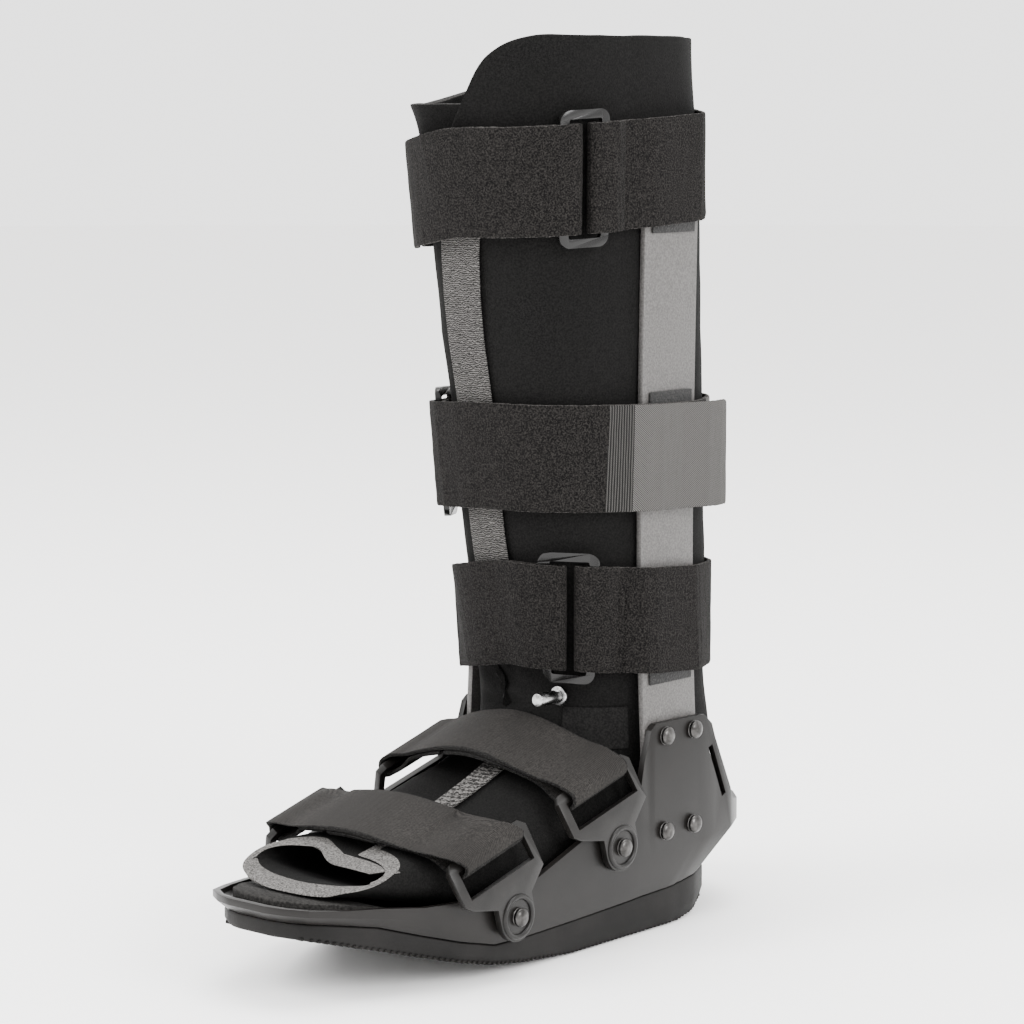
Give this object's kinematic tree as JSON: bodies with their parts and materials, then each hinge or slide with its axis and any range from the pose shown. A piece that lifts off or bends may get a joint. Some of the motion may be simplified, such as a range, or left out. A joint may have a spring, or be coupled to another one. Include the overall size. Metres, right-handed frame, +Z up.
{
  "type": "medical walking boot",
  "caption": "Tall rocker-soled walking boot with a padded wrap liner, flat metal side bars, three leg straps through rings and foot straps through riveted loops.",
  "frame": {"origin": "middle of the bounding box's underside, on the floor under the boot", "axes": "+Z up, the toe towards -Y, the wearer's left side towards +X"},
  "size_m": [0.1274, 0.2964, 0.404],
  "materials": {
    "rubber": "matt black moulded rubber",
    "shell_plastic": "satin dark moulded plastic",
    "insole_foam": "dark closed-cell foam",
    "liner_cloth": "black brushed cloth over foam",
    "pile_tape": "grey pile closure tape",
    "bar_paint": "grey textured powder coat",
    "rivet_metal": "dark satin metal",
    "strap_pile": "black pile strap",
    "hook_tape": "black hook tape",
    "black_plastic": "black satin moulded plastic",
    "webbing": "dark grey woven webbing",
    "valve_metal": "bright turned metal"
  },
  "bodies": {
    "root": {"outsole": "rubber", "shell": "shell_plastic", "insole_pad": "insole_foam", "liner": "liner_cloth", "closure_tape_leg": "pile_tape", "closure_tape_foot": "pile_tape", "bar_left": "bar_paint", "bar_right": "bar_paint", "plate_rivet_top_front_left": "rivet_metal", "plate_rivet_top_front_right": "rivet_metal", "plate_rivet_top_rear_left": "rivet_metal", "plate_rivet_top_rear_right": "rivet_metal", "plate_rivet_low_front_left": "rivet_metal", "plate_rivet_low_front_right": "rivet_metal", "plate_rivet_low_rear_left": "rivet_metal", "plate_rivet_low_rear_right": "rivet_metal", "strap_top": "strap_pile", "ring_top": "black_plastic", "hook_patch_top_left": "hook_tape", "hook_patch_top_right": "hook_tape", "strap_middle": "strap_pile", "ring_middle": "black_plastic", "hook_patch_middle_left": "hook_tape", "hook_patch_middle_right": "hook_tape", "strap_lower": "strap_pile", "ring_lower": "black_plastic", "hook_patch_lower_left": "hook_tape", "hook_patch_lower_right": "hook_tape", "loop_instep_left": "black_plastic", "loop_rivet_instep_left": "rivet_metal", "loop_instep_right": "black_plastic", "loop_rivet_instep_right": "rivet_metal", "strap_instep": "webbing", "loop_forefoot_left": "black_plastic", "loop_rivet_forefoot_left": "rivet_metal", "loop_forefoot_right": "black_plastic", "loop_rivet_forefoot_right": "rivet_metal", "strap_forefoot": "webbing", "valve_flange": "valve_metal", "valve_barrel": "valve_metal"}
  },
  "joints": []
}
